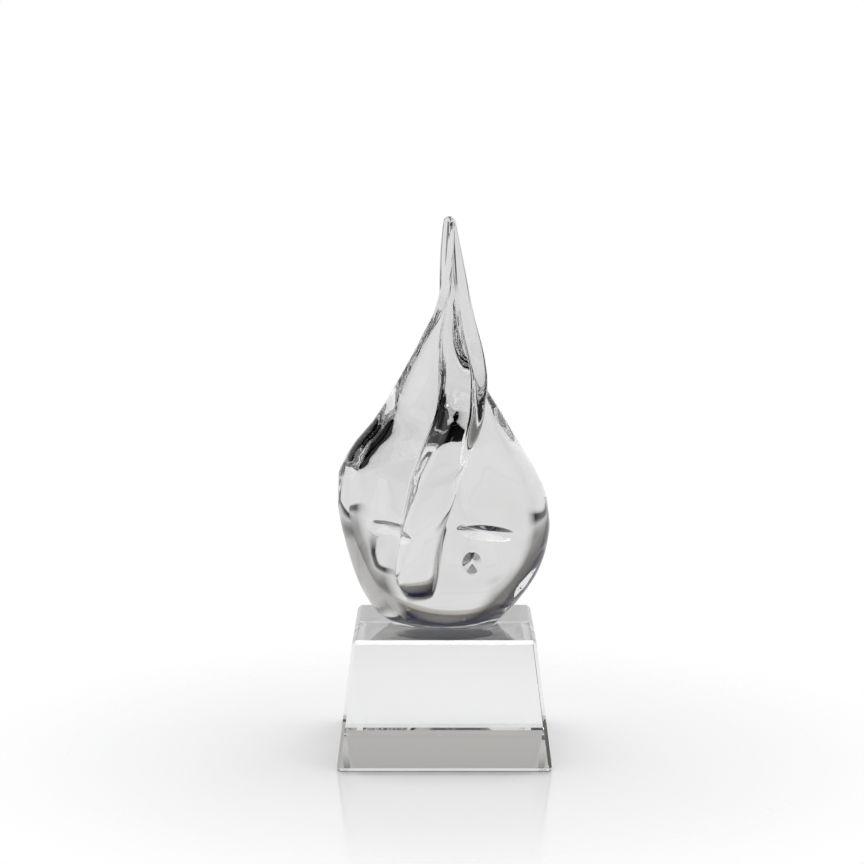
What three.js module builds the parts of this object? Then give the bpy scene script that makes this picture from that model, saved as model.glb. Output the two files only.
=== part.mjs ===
// Crystal flame award: a solid twisted flame of clear crystal stands on a bevelled crystal block,
// and one clear film of adhesive joins them. Millimetres, +Z up, the front is -Y.
// The origin is the centre of the block's underside.
import * as THREE from "three";
import { ConvexGeometry } from "three/addons/geometries/ConvexGeometry.js";

// Block: a square foot, a smaller square top and a flat polished chamfer on every edge.
const BASE_FOOT = 100;
const BASE_TOP = 85;
const BASE_HEIGHT = 60;
const BASE_CHAMFER = 1.6;

// Flame: overall height, widest width, depth of the belly, and the ground flat that it stands on.
const FLAME_HEIGHT = 193.75;
const FLAME_WIDTH = 102.4;
const FLAME_DEPTH = 68;
const FOOT_WIDTH = 51;
const FOOT_DEPTH = 36;

// Adhesive film between the flame's foot and the block, a little smaller than the foot.
const BOND_THICKNESS = 0.25;
const BOND_INSET = 0.4;

// The flame's two sides as seen from the front. In the bowl: [share of the flame's height, share
// of the way from the foot's half width to the full half width].
const LEFT_BOWL = [
  [0, 0], [0.01, 0.076], [0.026, 0.247], [0.052, 0.424], [0.093, 0.618], [0.155, 0.793],
  [0.206, 0.888], [0.294, 1],
];
const RIGHT_BOWL = [
  [0, 0], [0.01, 0.06], [0.026, 0.18], [0.052, 0.377], [0.093, 0.622], [0.134, 0.795],
  [0.181, 0.91], [0.24, 0.972],
];
// Above the bowl, up to the tip: [share of the flame's height, share of the full half width].
const LEFT_TAPER = [
  [0.361, 0.99], [0.397, 0.938], [0.433, 0.863], [0.505, 0.648], [0.572, 0.49], [0.655, 0.313],
  [0.716, 0.194], [0.778, 0.084], [0.84, 0.047], [0.918, 0.034], [1, 0.004],
];
const RIGHT_TAPER = [
  [0.294, 0.968], [0.361, 0.874], [0.433, 0.714], [0.505, 0.555], [0.562, 0.437], [0.67, 0.363],
  [0.768, 0.268], [0.861, 0.202], [0.959, 0.129], [1, 0.101],
];

// Twist of the three fins, in degrees, seen from above. They turn faster as the flame thins, and
// each fin curls: its root lags behind its edge by so many degrees for each unit of radius.
const TWIST_START = -107;
const TWIST_TOTAL = 162;
const TWIST_GATHER = 2.15;
const CURL = 22;

// Fins on a section of unit radius: the narrow front fin, then the broad right and left fins.
// Each is a blade with a round edge. Near the tip all three have the same reach and thickness.
const FINS = [
  { angle: 0, reach: 1.24, halfThickness: 0.233 },
  { angle: 126, reach: 1.29, halfThickness: 0.578 },
  { angle: -114, reach: 1.29, halfThickness: 0.578 },
];
const TIP_FIN = { reach: 1.244, halfThickness: 0.333 };
const CORE_RADIUS = 0.533;
// Where it starts, the front fin is still inside the bowl and this share of its full thickness.
const FRONT_FIN_ROOT = { reach: 0.444, thicknessShare: 0.12 };
// How sharply fins and core meet: a higher number leaves less of a fillet.
const MELT = 12;

// Heights above the foot: where the bowl ends, where the front fin starts and is full, and where
// the fins begin and finish turning into three alike.
const BOWL_HEIGHT = 48;
const FRONT_FIN_START = 14;
const FRONT_FIN_FULL = 30;
const ALIKE_FROM = 60;
const ALIKE_AT = 150;
const TIP_ROUNDING = 3;
// Above and below a ring, the stretch of height in which one fin takes over from the next as the
// widest one.
const HANDOVER = 8;

// How finely the flame is drawn.
const COLUMNS = 60;
const BOWL_ROWS = 15;
const BODY_ROWS = 42;
const TIP_ROWS = 5;
const SECTION_SAMPLES = 240;

const crystal = () => new THREE.MeshStandardMaterial({ color: 0xf2f4f3, roughness: 0.03, metalness: 0 });
const adhesive = () => new THREE.MeshStandardMaterial({ color: 0xf6f6f2, roughness: 0.1, metalness: 0 });

const smoothStep = (from, to, value) => THREE.MathUtils.smoothstep(value, from, to);

// A smooth curve through the points that never overshoots them: Hermite pieces whose slope at each
// inner point is the harmonic mean of its neighbours' slopes.
function curveThrough(points) {
  const width = points.slice(1).map((point, i) => point[0] - points[i][0]);
  const slope = width.map((w, i) => (points[i + 1][1] - points[i][1]) / w);
  const tangent = points.map((_, i) => {
    if (i === 0) return slope[0];
    if (i === slope.length) return slope[i - 1];
    if (slope[i - 1] * slope[i] <= 0) return 0;
    const before = 2 * width[i] + width[i - 1];
    const after = width[i] + 2 * width[i - 1];
    return (before + after) / (before / slope[i - 1] + after / slope[i]);
  });
  return (x) => {
    const last = slope.length - 1;
    let i = 0;
    while (i < last && x > points[i + 1][0]) i += 1;
    const t = THREE.MathUtils.clamp((x - points[i][0]) / width[i], 0, 1);
    const rise = t * t * (3 - 2 * t);
    return (
      points[i][1] * (1 - rise) + points[i + 1][1] * rise +
      width[i] * t * (1 - t) * ((1 - t) * tangent[i] - t * tangent[i + 1])
    );
  };
}

// One side of the outline, as a share of the full half width: the bowl grows out of the foot, and
// the taper follows it.
function outlineSide(bowl, taper) {
  const footShare = FOOT_WIDTH / FLAME_WIDTH;
  const grown = bowl.map(([height, share]) => [height, THREE.MathUtils.lerp(footShare, 1, share)]);
  return curveThrough([...grown, ...taper]);
}

const leftShare = outlineSide(LEFT_BOWL, LEFT_TAPER);
const rightShare = outlineSide(RIGHT_BOWL, RIGHT_TAPER);

// Distance from the axis to the surface of a blade, in a direction that is away from its own by
// the angle: its round edge, or its flat side, or behind the axis its round back.
function bladeRadius(away, reach, halfThickness) {
  const centre = reach - halfThickness;
  const along = Math.cos(away);
  const across = Math.abs(Math.sin(away));
  if (along <= 0) return halfThickness;
  if (across * centre >= halfThickness * along) return halfThickness / across;
  return centre * along + Math.sqrt(halfThickness ** 2 - (centre * across) ** 2);
}

// The front fin swells out of the bowl like a fingertip, along a quarter of an ellipse.
function frontFinRise(height) {
  const share = (height - FRONT_FIN_START) / (FRONT_FIN_FULL - FRONT_FIN_START);
  return Math.sqrt(1 - (1 - THREE.MathUtils.clamp(share, 0, 1)) ** 2);
}

// The direction of the front fin's crest at a height.
function twistAt(height) {
  const turned = TWIST_TOTAL * (height / FLAME_HEIGHT) ** TWIST_GATHER;
  return THREE.MathUtils.degToRad(TWIST_START + turned);
}

// A point of the unit section: blades melted together, curled, and rounded off into the bowl's
// circle. The turn is counted from the front fin's crest.
function sectionPoint(turn, height) {
  const alike = smoothStep(ALIKE_FROM, ALIKE_AT, height);
  const rise = frontFinRise(height);
  const radii = FINS.map(({ angle, reach, halfThickness }, i) => {
    let out = THREE.MathUtils.lerp(reach, TIP_FIN.reach, alike);
    let half = THREE.MathUtils.lerp(halfThickness, TIP_FIN.halfThickness, alike);
    if (i === 0) {
      out = THREE.MathUtils.lerp(FRONT_FIN_ROOT.reach, out, rise);
      half *= THREE.MathUtils.lerp(FRONT_FIN_ROOT.thicknessShare, 1, rise);
    }
    return bladeRadius(turn - THREE.MathUtils.degToRad(angle), out, half);
  });
  const melted = (...parts) => parts.reduce((sum, part) => sum + part ** MELT, 0) ** (1 / MELT);
  const bowl = smoothStep(0, BOWL_HEIGHT, height);
  const body = THREE.MathUtils.lerp(1, melted(CORE_RADIUS, radii[1], radii[2]), bowl);
  const radius = melted(body, radii[0]);
  const curl = THREE.MathUtils.degToRad(CURL) * (radius - FINS[0].reach) * bowl;
  const direction = turn + twistAt(height) + curl;
  return new THREE.Vector2(radius * Math.cos(direction), radius * Math.sin(direction));
}

// How far the unit section reaches left and right, averaged over a short stretch of height, so
// that one fin takes over from the next without a step.
function sectionReach(height) {
  const levels = [-1, -0.5, 0, 0.5, 1].map((share) =>
    THREE.MathUtils.clamp(height + share * HANDOVER, 0, FLAME_HEIGHT));
  const reach = { left: 0, right: 0 };
  for (const level of levels) {
    let left = 0;
    let right = 0;
    for (let i = 0; i < SECTION_SAMPLES; i += 1) {
      const { x } = sectionPoint((i / SECTION_SAMPLES) * 2 * Math.PI, level);
      left = Math.min(left, x);
      right = Math.max(right, x);
    }
    reach.left += left / levels.length;
    reach.right += right / levels.length;
  }
  return reach;
}

// One ring of the flame's surface: the unit section stretched to meet both sides of the outline.
function flameRing(height, turns) {
  const share = height / FLAME_HEIGHT;
  const left = (-leftShare(share) * FLAME_WIDTH) / 2;
  const right = (rightShare(share) * FLAME_WIDTH) / 2;
  const middle = (left + right) / 2;
  const reach = sectionReach(height);
  const stretch = (right - left) / (reach.right - reach.left);
  const bowl = smoothStep(0, BOWL_HEIGHT, height);
  const flatness = THREE.MathUtils.lerp(FOOT_DEPTH / FOOT_WIDTH, FLAME_DEPTH / FLAME_WIDTH, bowl);
  const halfDepth = ((right - left) / 2) * flatness;
  const nearTip = THREE.MathUtils.clamp(1 - (FLAME_HEIGHT - height) / TIP_ROUNDING, 0, 1);
  const closing = Math.sqrt(1 - nearTip ** 2);
  return turns.map((turn) => {
    const point = sectionPoint(turn, height);
    const x = left + (point.x - reach.left) * stretch;
    return [middle + (x - middle) * closing, point.y * halfDepth * closing, height];
  });
}

// The flame: rings from the foot to just under the tip, a flat foot and a point at the top.
function flameGeometry() {
  const turns = Array.from({ length: COLUMNS }, (_, i) => {
    const even = (i / COLUMNS) * 2 * Math.PI;
    return even - 0.45 * Math.sin(even);
  });
  const heights = [];
  const tipFrom = FLAME_HEIGHT - TIP_ROUNDING;
  for (let i = 0; i < BOWL_ROWS; i += 1) heights.push(FRONT_FIN_FULL * (i / BOWL_ROWS) ** 1.3);
  for (let i = 0; i < BODY_ROWS; i += 1) {
    heights.push(THREE.MathUtils.lerp(FRONT_FIN_FULL, tipFrom, i / BODY_ROWS));
  }
  for (let i = 0; i < TIP_ROWS; i += 1) {
    heights.push(tipFrom + TIP_ROUNDING * Math.sin((i / TIP_ROWS) * (Math.PI / 2)));
  }
  const positions = heights.flatMap((height) => flameRing(height, turns)).flat();
  const tip = ((rightShare(1) - leftShare(1)) * FLAME_WIDTH) / 4;
  positions.push(0, 0, 0, tip, 0, FLAME_HEIGHT);
  const footCentre = heights.length * COLUMNS;
  const tipPoint = footCentre + 1;
  const topRing = (heights.length - 1) * COLUMNS;
  const triangles = [];
  for (let i = 0; i < COLUMNS; i += 1) {
    const next = (i + 1) % COLUMNS;
    triangles.push(footCentre, next, i);
    triangles.push(tipPoint, topRing + i, topRing + next);
    for (let row = 0; row < topRing; row += COLUMNS) {
      triangles.push(row + i, row + next, row + COLUMNS + next);
      triangles.push(row + i, row + COLUMNS + next, row + COLUMNS + i);
    }
  }
  const geometry = new THREE.BufferGeometry();
  geometry.setAttribute("position", new THREE.Float32BufferAttribute(positions, 3));
  geometry.setIndex(triangles);
  geometry.computeVertexNormals();
  return geometry;
}

// The block: the convex shape of its corners, each cut back by the chamfer along three edges.
function blockGeometry() {
  const corners = [];
  const cut = BASE_CHAMFER;
  for (const [half, z, inward] of [[BASE_FOOT / 2, 0, 1], [BASE_TOP / 2, BASE_HEIGHT, -1]]) {
    const lean = (BASE_FOOT - BASE_TOP) / 2 / BASE_HEIGHT;
    const lower = half - inward * lean * cut;
    for (const x of [-1, 1]) {
      for (const y of [-1, 1]) {
        corners.push(new THREE.Vector3(x * (half - cut), y * (half - cut), z));
        corners.push(new THREE.Vector3(x * lower, y * (lower - cut), z + inward * cut));
        corners.push(new THREE.Vector3(x * (lower - cut), y * lower, z + inward * cut));
      }
    }
  }
  return new ConvexGeometry(corners);
}

// The adhesive film: the ground foot's ellipse, drawn in by the inset.
function bondGeometry() {
  const outline = new THREE.Shape();
  const halfWidth = FOOT_WIDTH / 2 - BOND_INSET;
  const halfDepth = FOOT_DEPTH / 2 - BOND_INSET;
  outline.absellipse(0, 0, halfWidth, halfDepth, 0, 2 * Math.PI);
  return new THREE.ExtrudeGeometry(outline, {
    depth: BOND_THICKNESS,
    bevelEnabled: false,
    curveSegments: COLUMNS,
  });
}

function piece(name, geometry, material, z) {
  const mesh = new THREE.Mesh(geometry, material);
  mesh.name = name;
  mesh.position.z = z;
  return mesh;
}

const award = new THREE.Group();
award.add(piece("base_block", blockGeometry(), crystal(), 0));
award.add(piece("adhesive_bond", bondGeometry(), adhesive(), BASE_HEIGHT));
award.add(piece("flame", flameGeometry(), crystal(), BASE_HEIGHT + BOND_THICKNESS));

export default award;
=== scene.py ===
"""A crystal flame award: a solid twisted flame of water-clear crystal, glued with a film of clear
adhesive to a bevelled crystal block. Metres, +Z up, the front is -Y."""

import math

import bpy
import numpy as np
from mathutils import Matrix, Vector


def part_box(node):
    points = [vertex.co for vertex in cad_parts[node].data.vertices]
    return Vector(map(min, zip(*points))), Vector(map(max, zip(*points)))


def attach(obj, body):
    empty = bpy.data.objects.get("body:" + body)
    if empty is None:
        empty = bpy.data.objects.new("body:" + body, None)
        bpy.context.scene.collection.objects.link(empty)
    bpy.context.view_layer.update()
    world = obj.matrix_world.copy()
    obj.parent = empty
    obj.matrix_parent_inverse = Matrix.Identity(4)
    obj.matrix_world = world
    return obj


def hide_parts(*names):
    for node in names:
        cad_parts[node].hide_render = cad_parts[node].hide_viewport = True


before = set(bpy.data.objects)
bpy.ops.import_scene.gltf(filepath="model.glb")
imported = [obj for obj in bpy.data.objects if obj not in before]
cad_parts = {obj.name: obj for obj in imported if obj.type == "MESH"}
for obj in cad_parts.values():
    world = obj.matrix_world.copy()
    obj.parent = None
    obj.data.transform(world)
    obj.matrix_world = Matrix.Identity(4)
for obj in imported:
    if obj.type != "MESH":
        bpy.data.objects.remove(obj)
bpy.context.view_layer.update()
scene = bpy.context.scene

# ---------------------------------------------------------------------------------------------
# Camera
# A long lens a little over a metre in front of the award, a little higher than its tip, and
# tilted down onto it.
LENS_MM = 100
SENSOR_MM = 36
CAMERA_PLACE = (-0.00228, -1.12988, 0.29974)
CAMERA_TILT = 0.1301
CAMERA_ROLL = 0.0007
CAMERA_TURN = 0.003

camera_data = bpy.data.cameras.new("camera")
camera_data.lens = LENS_MM
camera_data.sensor_width = SENSOR_MM
camera = bpy.data.objects.new("camera", camera_data)
camera.location = CAMERA_PLACE
camera.rotation_euler = (math.pi / 2 - CAMERA_TILT, CAMERA_ROLL, CAMERA_TURN)
scene.collection.objects.link(camera)
scene.camera = camera

# ---------------------------------------------------------------------------------------------
# Block
# One piece of optical crystal, sawn to a truncated pyramid, its six faces ground flat and
# polished and a narrow flat chamfer polished along every edge.
MM = 0.001
BLOCK_FOOT = 100 * MM
BLOCK_TOP = 85 * MM
BLOCK_CHAMFER = 1.6 * MM
# The oval on its top where the flame is glued on.
SEAT_WIDTH = 51 * MM
SEAT_DEPTH = 36 * MM
SIDE_POINTS = 18
SAME_POINT = 0.001 * MM
block_low, block_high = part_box("base_block")


def closed_rings(name, rings, contact_rows=()):
    """A closed body from rings of equal length: quads between each ring and the next, and a fan
    of triangles that closes the first ring and the last one at its middle. Rows named as contact
    get the second material: row 0 is the first fan, row n lies between rings n - 1 and n, and
    the row after those is the last fan."""
    count, around = rings.shape[:2]
    points = np.vstack([rings.reshape(-1, 3), rings[0].mean(0), rings[-1].mean(0)])
    low, high = count * around, count * around + 1
    column = np.arange(around)
    after = (column + 1) % around
    top = (count - 1) * around
    first = np.stack([np.full(around, low), after, column], 1)
    last = np.stack([np.full(around, high), top + column, top + after], 1)
    row = np.arange(count - 1)[:, None] * around
    quads = np.stack([row + column, row + after, row + around + after, row + around + column], 2)
    faces = first.tolist() + quads.reshape(-1, 4).tolist() + last.tolist()
    rows = np.concatenate([np.zeros(around), np.repeat(np.arange(1, count), around),
                           np.full(around, count)])
    mesh = bpy.data.meshes.new(name)
    mesh.from_pydata(points.tolist(), [], faces)
    mesh.polygons.foreach_set("material_index", np.isin(rows, contact_rows).astype(np.int32))
    mesh.update()
    piece = bpy.data.objects.new(name, mesh)
    scene.collection.objects.link(piece)
    return piece


def square_ring(half, cut, height):
    """A square with its corners cut off: on each side, points at equal steps from one cut to the
    next, and the side turned by a quarter, a half and three quarters of a turn for the others."""
    step = np.linspace(-1, 1, SIDE_POINTS)
    side = np.stack([step * (half - cut), np.full(SIDE_POINTS, -half)], 1)
    turns = [np.array([[np.cos(a), np.sin(a)], [-np.sin(a), np.cos(a)]])
             for a in np.arange(4) * np.pi / 2]
    flat = np.vstack([side @ turn for turn in turns])
    return np.column_stack([flat, np.full(len(flat), height)])


def seat_ring(like, half_width, half_depth, height):
    """An ellipse with a point for each point of another ring, at that point's turn round the
    axis."""
    turn = np.arctan2(like[:, 1], like[:, 0])
    return np.column_stack([half_width * np.cos(turn), half_depth * np.sin(turn),
                            np.full(len(like), height)])


def block_half(height):
    """Half the block's width at a height, on its leaning sides."""
    share = (height - block_low.z) / (block_high.z - block_low.z)
    return (BLOCK_FOOT + (BLOCK_TOP - BLOCK_FOOT) * share) / 2


low_edge = block_low.z + BLOCK_CHAMFER
high_edge = block_high.z - BLOCK_CHAMFER
block_rings = [
    square_ring(BLOCK_FOOT / 2 - BLOCK_CHAMFER, 0, block_low.z),
    square_ring(block_half(low_edge), BLOCK_CHAMFER, low_edge),
    square_ring(block_half(high_edge), BLOCK_CHAMFER, high_edge),
    square_ring(BLOCK_TOP / 2 - BLOCK_CHAMFER, 0, block_high.z),
]
block_rings.append(seat_ring(block_rings[-1], SEAT_WIDTH / 2, SEAT_DEPTH / 2, block_high.z))
block = closed_rings("block", np.array(block_rings), contact_rows=[len(block_rings)])
# Where a square's corners aren't cut, two of its points are one.
weld = block.modifiers.new("weld", "WELD")
weld.merge_threshold = SAME_POINT


def add_node(tree, kind, inputs=None, **settings):
    """A node of a kind with its settings, and its inputs set to numbers or joined to sockets."""
    node = tree.nodes.new(kind)
    for name, value in settings.items():
        setattr(node, name, value)
    for key, value in (inputs or {}).items():
        if isinstance(value, bpy.types.NodeSocket):
            tree.links.new(value, node.inputs[key])
        else:
            node.inputs[key].default_value = value
    return node


def hand_polish_group():
    """What is left of the making on polished crystal: a slow swell of the surface with finer
    drawn cords in it (height), faint cloudy patches where the felt wheel stopped (roughness),
    and a trace of colour in the melt (tint). The swell lies in Position, the cords in Flow."""
    group = bpy.data.node_groups.new("hand polish", "ShaderNodeTree")
    sockets = [("Position", "NodeSocketVector"), ("Flow", "NodeSocketVector"),
               ("Swell size", "NodeSocketFloat"), ("Cord size", "NodeSocketFloat"),
               ("Cord share", "NodeSocketFloat"), ("Haze", "NodeSocketFloat"),
               ("Clear tint", "NodeSocketColor"), ("Deep tint", "NodeSocketColor")]
    for name, kind in sockets:
        group.interface.new_socket(name, in_out="INPUT", socket_type=kind)
    for name, kind in [("Tint", "NodeSocketColor"), ("Roughness", "NodeSocketFloat"),
                       ("Height", "NodeSocketFloat")]:
        group.interface.new_socket(name, in_out="OUTPUT", socket_type=kind)
    given = group.nodes.new("NodeGroupInput").outputs
    made = group.nodes.new("NodeGroupOutput").inputs
    swell = add_node(group, "ShaderNodeTexNoise", {
        "Vector": given["Position"], "Scale": given["Swell size"], "Detail": 1.0})
    cords = add_node(group, "ShaderNodeTexNoise", {
        "Vector": given["Flow"], "Scale": given["Cord size"], "Detail": 2.0})
    height = add_node(group, "ShaderNodeMath", {
        0: cords.outputs["Fac"], 1: given["Cord share"], 2: swell.outputs["Fac"]},
        operation="MULTIPLY_ADD")
    patches = add_node(group, "ShaderNodeMath", {
        0: swell.outputs["Fac"], 1: given["Haze"]}, operation="MULTIPLY")
    tint = add_node(group, "ShaderNodeMix", {
        0: swell.outputs["Fac"], 6: given["Clear tint"], 7: given["Deep tint"]},
        data_type="RGBA")
    group.links.new(tint.outputs[2], made["Tint"])
    group.links.new(patches.outputs[0], made["Roughness"])
    group.links.new(height.outputs[0], made["Height"])
    return group


hand_polish = hand_polish_group()


def crystal_material(name, ior, polish, wave_height):
    """Clear crystal: all light goes through, bent by the refractive index. The hand polish group
    gives its tint and its roughness, and waves of the group's height, times the wave height in
    metres, that bend the normal."""
    material = bpy.data.materials.new(name)
    material.use_nodes = True
    tree = material.node_tree
    shader = tree.nodes["Principled BSDF"]
    shader.inputs["IOR"].default_value = ior
    shader.inputs["Metallic"].default_value = 0.0
    shader.inputs["Transmission Weight"].default_value = 1.0
    place = tree.nodes.new("ShaderNodeTexCoord").outputs["Object"]
    finish = add_node(tree, "ShaderNodeGroup", node_tree=hand_polish)
    finish.name = "finish"
    tree.links.new(place, finish.inputs["Position"])
    tree.links.new(place, finish.inputs["Flow"])
    for key, value in polish.items():
        finish.inputs[key].default_value = value
    bump = add_node(tree, "ShaderNodeBump", {
        "Height": finish.outputs["Height"], "Strength": 1.0, "Distance": wave_height})
    tree.links.new(finish.outputs["Tint"], shader.inputs["Base Color"])
    tree.links.new(finish.outputs["Roughness"], shader.inputs["Roughness"])
    tree.links.new(bump.outputs["Normal"], shader.inputs["Normal"])
    return material


CRYSTAL_IOR = 1.52
BLOCK_WAVES = 0.001 * MM
BLOCK_POLISH = {"Swell size": 30.0, "Cord size": 160.0, "Cord share": 0.05, "Haze": 0.004,
                "Clear tint": (1.0, 1.0, 0.997, 1), "Deep tint": (0.99, 0.995, 0.99, 1)}
block_crystal = crystal_material("block crystal", CRYSTAL_IOR, BLOCK_POLISH, BLOCK_WAVES)

# Crystal, adhesive and crystal bend light alike, so light goes straight on where they touch.
GLUED_IOR = 1.0
GLUED_POLISH = {"Swell size": 30.0, "Cord size": 60.0, "Cord share": 0.0, "Haze": 0.0,
                "Clear tint": (1.0, 1.0, 1.0, 1), "Deep tint": (0.995, 0.995, 0.99, 1)}
glued_face = crystal_material("glued face", GLUED_IOR, GLUED_POLISH, 0.0)
block.data.materials.append(block_crystal)
block.data.materials.append(glued_face)
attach(block, "root")
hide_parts("base_block")

# ---------------------------------------------------------------------------------------------
# Adhesive film
# Clear adhesive cured under light between the two ground faces, a quarter of a millimetre thick,
# wiped back to just inside the flame's foot. Its edge is a hollow fillet.
FILM_INSET = 0.4 * MM
FILM_HOLLOW = 0.12 * MM
FILM_RINGS = 7
FILM_AROUND = 160
ADHESIVE_IOR = 1.5
FILM_WAVES = 0.01 * MM
film_low, film_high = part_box("adhesive_bond")


def film_rings():
    """The film's edge from its lower face to its upper one: ellipses that draw in by half a sine
    wave, the hollow of the fillet, between the two faces."""
    up = np.linspace(0, 1, FILM_RINGS)[:, None]
    turn = np.linspace(0, 2 * np.pi, FILM_AROUND, endpoint=False)[None, :]
    inward = FILM_INSET + FILM_HOLLOW * np.sin(np.pi * up)
    x = (SEAT_WIDTH / 2 - inward) * np.cos(turn)
    y = (SEAT_DEPTH / 2 - inward) * np.sin(turn)
    z = film_low.z + (film_high.z - film_low.z) * up + 0 * turn
    return np.stack([x, y, z], 2)


film = closed_rings("adhesive_film", film_rings(), contact_rows=[0, FILM_RINGS])
FILM_POLISH = {"Swell size": 220.0, "Cord size": 900.0, "Cord share": 0.2, "Haze": 0.05,
               "Clear tint": (1.0, 1.0, 0.99, 1), "Deep tint": (0.98, 0.98, 0.95, 1)}
cured_adhesive = crystal_material("cured adhesive", ADHESIVE_IOR, FILM_POLISH, FILM_WAVES)
film.data.materials.append(cured_adhesive)
film.data.materials.append(glued_face)
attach(film, "root")
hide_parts("adhesive_bond")

# ---------------------------------------------------------------------------------------------
# Flame
# A gather of hot crystal, pulled out, twisted and drawn to a tip: three fins run up from a round
# bowl, a narrow one in front. The foot is cut off flat and ground to stand on the block.
FLAME_WIDTH = 102.4 * MM
FLAME_DEPTH = 68 * MM
flame_low, flame_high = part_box("flame")
FLAME_HEIGHT = flame_high.z - flame_low.z

# The two sides seen from the front. In the bowl, the share of the way from the foot's half width
# to the full half width; above it, the share of the full half width; both by share of the height.
LEFT_BOWL = [(0, 0), (0.01, 0.076), (0.026, 0.247), (0.052, 0.424), (0.093, 0.618),
             (0.155, 0.793), (0.206, 0.888), (0.294, 1)]
RIGHT_BOWL = [(0, 0), (0.01, 0.06), (0.026, 0.18), (0.052, 0.377), (0.093, 0.622),
              (0.134, 0.795), (0.181, 0.91), (0.24, 0.972)]
LEFT_TAPER = [(0.361, 0.99), (0.397, 0.938), (0.433, 0.863), (0.505, 0.648), (0.572, 0.49),
              (0.655, 0.313), (0.716, 0.194), (0.778, 0.084), (0.84, 0.047), (0.918, 0.034),
              (1, 0.004)]
RIGHT_TAPER = [(0.294, 0.968), (0.361, 0.874), (0.433, 0.714), (0.505, 0.555), (0.562, 0.437),
               (0.67, 0.363), (0.768, 0.268), (0.861, 0.202), (0.959, 0.129), (1, 0.101)]

# How far the twist has turned the section at the foot, how much further it turns up to the tip,
# how much of that gathers near the tip, and the curl: how far a fin's root lags behind its edge
# for each unit of radius.
TWIST_START = math.radians(-107)
TWIST_TOTAL = math.radians(162)
TWIST_GATHER = 2.15
CURL = math.radians(22)
# The front fin, the right one and the left one: direction, reach and half thickness on a section
# of unit radius. Near the tip all three are alike.
FINS = [(0.0, 1.24, 0.233), (math.radians(126), 1.29, 0.578), (math.radians(-114), 1.29, 0.578)]
TIP_REACH = 1.244
TIP_HALF = 0.333
CORE_RADIUS = 0.533
# The front fin grows out of the bowl from this reach and this share of its thickness.
ROOT_REACH = 0.444
ROOT_SHARE = 0.12
# The higher this power, the sharper the fillets between fins and core.
MELT = 12
# Heights above the foot: of the bowl, where the front fin starts and is full, and between which
# the fins become alike.
BOWL_HEIGHT = 48 * MM
FRONT_FIN_START = 14 * MM
FRONT_FIN_FULL = 30 * MM
ALIKE_FROM = 60 * MM
ALIKE_AT = 150 * MM
# The outline passes from one fin's edge to the next one's over this far up and down.
HANDOVER = 8 * MM
HANDOVER_STEPS = (-1, -0.5, 0, 0.5, 1)
OUTLINE_POINTS = 240
TIP_ROUNDING = 3 * MM
# Marks of the tools on the front of the bowl, beside the front fin: where their middle is, sideways
# and above the foot, their half length and half width, their depth, and their slope.
TOOL_MARKS = [(-27.5 * MM, 46.5 * MM, 13.5 * MM, 3.6 * MM, 8.4 * MM, 0.0),
              (21 * MM, 45.5 * MM, 15.5 * MM, 3.8 * MM, 6 * MM, -0.16),
              (13.2 * MM, 32 * MM, 4.8 * MM, 5.4 * MM, 8.5 * MM, 0.0)]
# How blunt a mark's deepest point is, as a share of its size, and how far in front of the
# flame's middle the marks have their full depth.
MARK_BLUNTNESS = 0.1
MARK_FADE = 4 * MM
# Columns lie closer at the front crest than at the back, by this share of the even spacing.
COLUMNS = 300
CREST_GATHER = 0.45
BODY_ROWS = 290
TIP_ROWS = 20
FLAME_WAVES = 0.02 * MM
# The cords show where the gather was pulled thin: the shares of the height where they start and
# are full, and how much they then weigh beside the swell.
CORD_FROM = 0.28
CORD_FULL = 0.5
CORD_SHARE = 2.5


def smooth_step(low, high, value):
    """0 up to the low end, 1 from the high end, and 3t^2 - 2t^3 between them."""
    t = np.clip((value - low) / (high - low), 0, 1)
    return t * t * (3 - 2 * t)


def mix(a, b, share):
    """A straight blend from a to b."""
    return a + (b - a) * share


def curve_through(points, at):
    """A smooth curve through the points that never overshoots them: cubic Hermite pieces, with
    the weighted harmonic mean of the two neighbouring slopes as the slope at each inner point."""
    x, y = np.array(points, float).T
    width = np.diff(x)
    slope = np.diff(y) / width
    before, after = 2 * width[1:] + width[:-1], width[1:] + 2 * width[:-1]
    same = slope[1:] * slope[:-1] > 0
    left, right = np.where(same, slope[:-1], 1), np.where(same, slope[1:], 1)
    inner = np.where(same, (before + after) / (before / left + after / right), 0)
    tangent = np.concatenate([slope[:1], inner, slope[-1:]])
    i = np.clip(np.searchsorted(x, at) - 1, 0, len(width) - 1)
    t = np.clip((at - x[i]) / width[i], 0, 1)
    rise = t * t * (3 - 2 * t)
    bend = width[i] * t * (1 - t) * ((1 - t) * tangent[i] - t * tangent[i + 1])
    return mix(y[i], y[i + 1], rise) + bend


def blade_radius(away, reach, half):
    """Distance from the axis to the surface of a round-edged blade, in a direction that is away
    from its own: the round edge, the flat side, or the round back."""
    centre = reach - half
    along, across = np.cos(away), np.abs(np.sin(away))
    side = half / np.maximum(across, 1e-6)
    edge = centre * along + np.sqrt(np.maximum(half**2 - (centre * across) ** 2, 0))
    return np.where(along <= 0, half, np.where(across * centre >= half * along, side, edge))


def melted(*radii):
    """Radii melted into one with a fillet: the root of the sum of their high powers."""
    return sum(radius**MELT for radius in radii) ** (1 / MELT)


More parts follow.
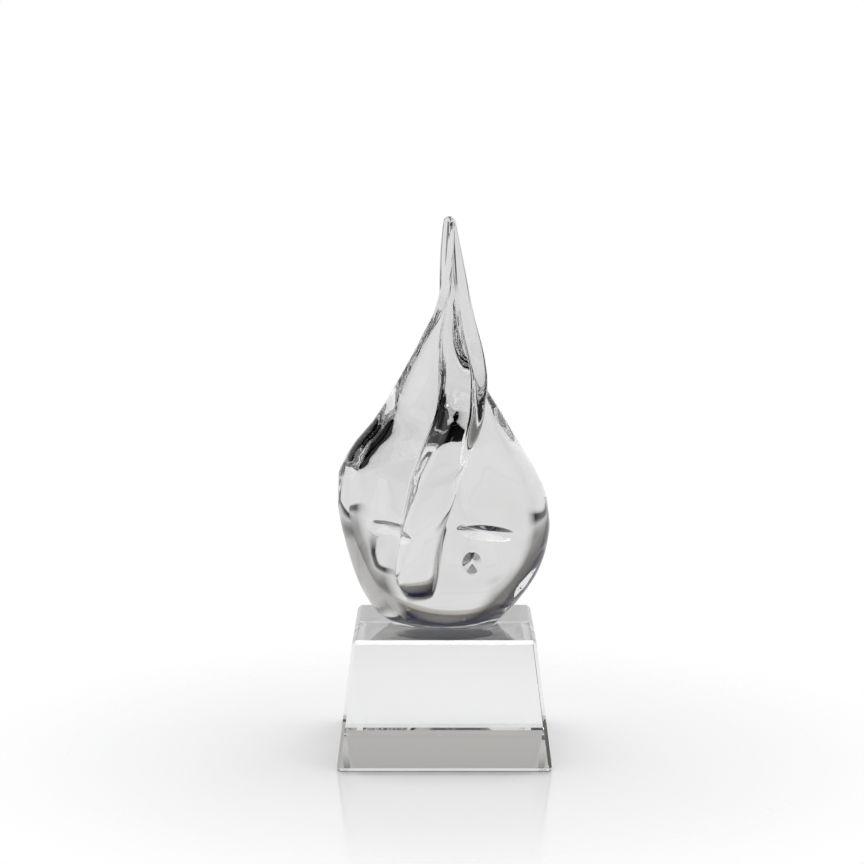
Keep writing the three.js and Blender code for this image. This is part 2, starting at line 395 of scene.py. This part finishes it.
def flame_section(turn, height):
    """Points of the unit section: three blades and a core melted together, rounded off into the
    bowl's circle, curled, and turned by the twist. The turn is counted from the front crest."""
    alike = smooth_step(ALIKE_FROM, ALIKE_AT, height)
    share = np.clip((height - FRONT_FIN_START) / (FRONT_FIN_FULL - FRONT_FIN_START), 0, 1)
    rise = np.sqrt(1 - (1 - share) ** 2)
    (front_angle, front_reach, front_half), right, left = FINS
    front = blade_radius(turn - front_angle,
                         mix(ROOT_REACH, mix(front_reach, TIP_REACH, alike), rise),
                         mix(front_half, TIP_HALF, alike) * mix(ROOT_SHARE, 1, rise))
    sides = [blade_radius(turn - angle, mix(reach, TIP_REACH, alike), mix(half, TIP_HALF, alike))
             for angle, reach, half in (right, left)]
    bowl = smooth_step(0, BOWL_HEIGHT, height)
    radius = melted(mix(1, melted(CORE_RADIUS, *sides), bowl), front)
    twist = TWIST_START + TWIST_TOTAL * (height / FLAME_HEIGHT) ** TWIST_GATHER
    direction = turn + twist + CURL * (radius - front_reach) * bowl
    return radius * np.cos(direction), radius * np.sin(direction)


def pressed_in(x, height, middle, above, half_length, half_width, depth, slope):
    """How deep a tool mark is at a point: an elliptic cone, its point rounded off, that is deepest
    in the middle of the mark and rises straight to its rim."""
    along = (x - middle) / half_length
    across = (height - above - slope * (x - middle)) / half_width
    outward = np.sqrt(along**2 + across**2 + MARK_BLUNTNESS**2)
    return depth * np.maximum(1 - outward, 0)


def flame_sides(height):
    """How far the flame's two sides stand out to the left and to the right at a height."""
    foot_share = SEAT_WIDTH / FLAME_WIDTH
    return [FLAME_WIDTH / 2 * curve_through(
        [(h, mix(foot_share, 1, s)) for h, s in bowl] + taper, height / FLAME_HEIGHT)
        for bowl, taper in ((LEFT_BOWL, LEFT_TAPER), (RIGHT_BOWL, RIGHT_TAPER))]


def flame_rings(turn, height):
    """The flame's surface: each unit section is stretched sideways to meet both sides of the
    outline, and front to back by the flatness. It closes in a round tip along a quarter circle,
    and has the tool marks pressed in at the front."""
    left, right = flame_sides(height)
    all_round = np.linspace(0, 2 * np.pi, OUTLINE_POINTS, endpoint=False)[None, :]
    levels = [np.clip(height + step * HANDOVER, 0, FLAME_HEIGHT) for step in HANDOVER_STEPS]
    across = [flame_section(all_round, level)[0] for level in levels]
    reach_left = sum(x.min(1, keepdims=True) for x in across) / len(across)
    reach_right = sum(x.max(1, keepdims=True) for x in across) / len(across)
    x, y = flame_section(turn, height)
    stretch = (left + right) / (reach_right - reach_left)
    bowl = smooth_step(0, BOWL_HEIGHT, height)
    flatness = mix(SEAT_DEPTH / SEAT_WIDTH, FLAME_DEPTH / FLAME_WIDTH, bowl)
    middle = (right - left) / 2
    near_tip = np.clip(1 - (FLAME_HEIGHT - height) / TIP_ROUNDING, 0, 1)
    closing = np.sqrt(1 - near_tip**2)
    x = middle + ((x - reach_left) * stretch - left - middle) * closing
    y = y * (left + right) / 2 * flatness * closing
    in_front = smooth_step(0, MARK_FADE, -y)
    y = y + in_front * sum(pressed_in(x, height, *mark) for mark in TOOL_MARKS)
    return np.stack([x, y, flame_low.z + height + 0 * x], 2)


even_turn = np.linspace(0, 2 * np.pi, COLUMNS, endpoint=False)
flame_turns = (even_turn - CREST_GATHER * np.sin(even_turn))[None, :]
tip_from = FLAME_HEIGHT - TIP_ROUNDING
tip_rise = np.sin(np.linspace(0, np.pi / 2, TIP_ROWS, endpoint=False))
flame_heights = np.concatenate([np.linspace(0, tip_from, BODY_ROWS, endpoint=False),
                                tip_from + TIP_ROUNDING * tip_rise])[:, None]
flame = closed_rings("flame_crystal", flame_rings(flame_turns, flame_heights), contact_rows=[0])
# All of it is smooth but the ground foot, the first fan.
flame.data.polygons.foreach_set(
    "use_smooth", np.arange(len(flame.data.polygons)) >= COLUMNS)


def flow_of(turn, height):
    """A place in the drawn crystal for each point of the surface, before it was twisted: its turn
    from the front crest on a circle as wide as the flame there, and its share of the height. The
    middles of the foot and of the tip come last."""
    wide = sum(flame_sides(height)) / FLAME_WIDTH
    rings = np.stack([wide * np.cos(turn), wide * np.sin(turn),
                      height / FLAME_HEIGHT + 0 * turn], 2)
    return np.vstack([rings.reshape(-1, 3), [0, 0, 0], [0, 0, 1]])


flow = flame.data.attributes.new("flow", "FLOAT_VECTOR", "POINT")
flow.data.foreach_set("vector", flow_of(flame_turns, flame_heights).ravel())
FLAME_POLISH = {"Swell size": 45.0, "Cord size": 10.0, "Haze": 0.002,
                "Clear tint": (1.0, 1.0, 0.998, 1), "Deep tint": (0.94, 0.94, 0.937, 1)}
flame_crystal = crystal_material("flame crystal", CRYSTAL_IOR, FLAME_POLISH, FLAME_WAVES)
tree = flame_crystal.node_tree
drawn = add_node(tree, "ShaderNodeAttribute", attribute_name="flow")
drawn_axes = add_node(tree, "ShaderNodeSeparateXYZ", {0: drawn.outputs["Vector"]})
pulled = add_node(tree, "ShaderNodeMapRange", {
    "Value": drawn_axes.outputs[2], "From Min": CORD_FROM, "From Max": CORD_FULL,
    "To Min": 0.0, "To Max": CORD_SHARE}, interpolation_type="SMOOTHSTEP")
tree.links.new(drawn.outputs["Vector"], tree.nodes["finish"].inputs["Flow"])
tree.links.new(pulled.outputs[0], tree.nodes["finish"].inputs["Cord share"])
flame.data.materials.append(flame_crystal)
flame.data.materials.append(glued_face)
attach(flame, "root")
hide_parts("flame")

# ---------------------------------------------------------------------------------------------
# Table
# The award stands on a pale satin table that clears away, a little way out, into the white of
# the backdrop; that fade from grey near the award to white further out is a painted pool of
# shade. The table also shows the rendered soft shadow and the mirror image of the block.
TABLE_RADIUS = 2.2
TABLE_CORNERS = 96
TABLE_DROP = 0.05 * MM
# Painted shade: out to the first distance the grey table stands solid round the award, and by the
# second it has faded into the white backdrop, a pool of shade painted by distance.
SHADE_POOL_FADE_FROM = 0.09
SHADE_POOL_FADE_AT = 0.25
TABLE_GRAIN = 900.0
TABLE_DARK = (0.72, 0.722, 0.724, 1)
TABLE_LIGHT = (0.76, 0.762, 0.764, 1)


def disc(radius, corners, height):
    """The corners of a flat round disc, at equal turns on a circle."""
    turn = np.linspace(0, 2 * np.pi, corners, endpoint=False)
    return np.stack([radius * np.cos(turn), radius * np.sin(turn), np.full(corners, height)], 1)


table_mesh = bpy.data.meshes.new("table")
table_mesh.from_pydata(disc(TABLE_RADIUS, TABLE_CORNERS, block_low.z - TABLE_DROP).tolist(), [],
                       [list(range(TABLE_CORNERS))])
table_mesh.update()
table = bpy.data.objects.new("table", table_mesh)
scene.collection.objects.link(table)

satin = bpy.data.materials.new("satin table")
satin.use_nodes = True
tree = satin.node_tree
shader = tree.nodes["Principled BSDF"]
shader.inputs["Roughness"].default_value = 0.12
shader.inputs["IOR"].default_value = 1.45
place = tree.nodes.new("ShaderNodeTexCoord").outputs["Object"]
grain = add_node(tree, "ShaderNodeTexNoise", {
    "Vector": place, "Scale": TABLE_GRAIN, "Detail": 2.0})
pale = add_node(tree, "ShaderNodeMix", {
    0: grain.outputs["Fac"], 6: TABLE_DARK, 7: TABLE_LIGHT}, data_type="RGBA")
distance = add_node(tree, "ShaderNodeVectorMath", {0: place}, operation="LENGTH")
# Painted shade: solid near the award and clear further out, so the grey table fades into the white
# backdrop like a pool of shade round the award.
painted_shade_pool = add_node(tree, "ShaderNodeMapRange", {
    "Value": distance.outputs["Value"], "From Min": SHADE_POOL_FADE_FROM, "From Max": SHADE_POOL_FADE_AT,
    "To Min": 1.0, "To Max": 0.0}, interpolation_type="SMOOTHSTEP")
tree.links.new(pale.outputs[2], shader.inputs["Base Color"])
tree.links.new(painted_shade_pool.outputs[0], shader.inputs["Alpha"])
table_mesh.materials.append(satin)

# ---------------------------------------------------------------------------------------------
# Studio
# A wide soft light hangs over the table. Behind the award stands a white backdrop, round it lies
# the dark room, and the crystal gathers both into its bright panels and dark edges.
LIGHT_SIZE = (1.6, 1.2)
LIGHT_PLACE = (0, 0.2, 1.6)
LIGHT_WATTS = 30

light_data = bpy.data.lights.new("overhead light", "AREA")
light_data.shape = "RECTANGLE"
light_data.size, light_data.size_y = LIGHT_SIZE
light_data.energy = LIGHT_WATTS
light = bpy.data.objects.new("overhead light", light_data)
light.location = LIGHT_PLACE
# Through the crystal the light itself would only show as sparkles along the chamfers.
light.visible_transmission = False
scene.collection.objects.link(light)

# Tones by height above the horizon in degrees, from straight down to straight up. The backdrop
# ends in a warm grey edge, with the room's wall and its ceiling above it.
BACKDROP = [(-90, 0.84), (11.5, 0.84), (12.5, (0.58, 0.57, 0.55)), (15.8, (0.46, 0.455, 0.445)),
            (16.8, (0.42, 0.36, 0.22)), (17.8, 0.16), (25, (0.28, 0.27, 0.28)),
            (29, 0.4), (60, 0.5), (72, 0.75), (90, 1.25)]
# At the sides and in front: the pale table with a dark far edge, the dark room, and the light.
ROOM = [(-90, 0.84), (-9.5, 0.8), (-8.5, 0.03), (-6.5, 0.03), (-4.5, 0.6), (-2, 0.4),
        (5, (0.2, 0.19, 0.18)), (15, (0.15, 0.143, 0.137)), (20, (0.05, 0.045, 0.045)),
        (30, (0.015, 0.016, 0.035)), (50, (0.025, 0.026, 0.045)), (65, 0.2), (80, 0.9), (90, 1.25)]
ROOM_STRENGTH = 0.9
# How far back a direction points, from 0 at the front to 1 at the back: where the backdrop
# starts, and where the table's gloss starts to mirror it.
BACKDROP_SIDES = [(0.93, 0), (0.97, 1)]
GLOSS_SIDES = [(0.5, 0), (0.6, 1)]
# A pale screen at the right, by the parts of a unit direction that point to the right and up.
SCREEN_SPAN = (0.35, 1.2)
SCREEN_HEIGHT = (0.2, 0.9)
SCREEN_SOFTNESS = 0.06
SCREEN_COLOUR = (0.48, 0.47, 0.46, 1)

world = bpy.data.worlds.new("studio")
world.use_nodes = True
scene.world = world
tree = world.node_tree
tree.nodes.clear()


def tone_ramp(source, stops):
    """A ramp through the stops, each a place from 0 to 1 and a grey value or a colour."""
    node = add_node(tree, "ShaderNodeValToRGB", {"Fac": source})
    ramp = node.color_ramp
    for _ in stops[2:]:
        ramp.elements.new(0.5)
    for element, (at, value) in zip(ramp.elements, stops):
        element.position = at
        colour = value if isinstance(value, tuple) else (value, value, value)
        element.color = (*colour, 1)
    return node.outputs["Color"]


def half_way(source):
    """A part of a unit direction, from -1 to 1, as a place on a ramp, from 0 to 1."""
    node = add_node(tree, "ShaderNodeMath", {0: source, 1: 0.5, 2: 0.5}, operation="MULTIPLY_ADD")
    return node.outputs[0]


def by_height(tones):
    """A ramp of tones by the height above the horizon: the arcsine of the upward part of the
    direction, as a share of the half turn from straight down to straight up."""
    above = add_node(tree, "ShaderNodeMath", {0: axes["Z"]}, operation="ARCSINE")
    share = add_node(tree, "ShaderNodeMath", {0: above.outputs[0], 1: 1 / math.pi, 2: 0.5},
                     operation="MULTIPLY_ADD")
    return tone_ramp(share.outputs[0], [((degrees + 90) / 180, tone) for degrees, tone in tones])


def between(source, low, high):
    """1 where a part of the unit direction lies between two values, 0 outside, with soft ends."""
    soft = SCREEN_SOFTNESS
    stops = [(low - soft, 0), (low + soft, 1), (high - soft, 1), (high + soft, 0)]
    return tone_ramp(half_way(source), [(0.5 + at / 2, value) for at, value in stops])


def joined(operation, first, second):
    """Two values joined by one operation."""
    return add_node(tree, "ShaderNodeMath", {0: first, 1: second}, operation=operation).outputs[0]


def layered(mask, under, over):
    """One tone laid over another where the mask is 1."""
    node = add_node(tree, "ShaderNodeMix", {0: mask, 6: under, 7: over}, data_type="RGBA")
    return node.outputs[2]


looking = tree.nodes.new("ShaderNodeTexCoord").outputs["Generated"]
axes = add_node(tree, "ShaderNodeSeparateXYZ", {0: looking}).outputs
backward = half_way(axes["Y"])
on_screen = joined("MULTIPLY", between(axes["X"], *SCREEN_SPAN), between(axes["Z"], *SCREEN_HEIGHT))
walls = layered(on_screen, by_height(ROOM), SCREEN_COLOUR)
studio = layered(tone_ramp(backward, BACKDROP_SIDES), walls, by_height(BACKDROP))
through_crystal = add_node(tree, "ShaderNodeBackground", {
    "Color": studio, "Strength": ROOM_STRENGTH})
white = add_node(tree, "ShaderNodeBackground", {"Color": (1, 1, 1, 1), "Strength": 1.0})

# Seen straight on, and in the gloss of the table, the backdrop is white all the way up. A bent
# ray counts as glossy too, so it is taken away from the mirrored ones.
path = tree.nodes.new("ShaderNodeLightPath").outputs
mirrored = joined("SUBTRACT", path["Is Glossy Ray"], path["Is Transmission Ray"])
in_gloss = joined("MULTIPLY", mirrored, tone_ramp(backward, GLOSS_SIDES))
plainly = joined("MAXIMUM", path["Is Camera Ray"], in_gloss)
seen = add_node(tree, "ShaderNodeMixShader", {
    0: plainly, 1: through_crystal.outputs[0], 2: white.outputs[0]})
output = tree.nodes.new("ShaderNodeOutputWorld")
tree.links.new(seen.outputs[0], output.inputs["Surface"])

# Light has to cross many polished faces before it leaves the crystal, and none of it is clamped.
BOUNCES = 32
scene.cycles.max_bounces = BOUNCES
scene.cycles.transmission_bounces = BOUNCES
scene.cycles.glossy_bounces = BOUNCES
scene.cycles.transparent_max_bounces = BOUNCES
scene.cycles.sample_clamp_indirect = 0
scene.view_settings.view_transform = "Standard"
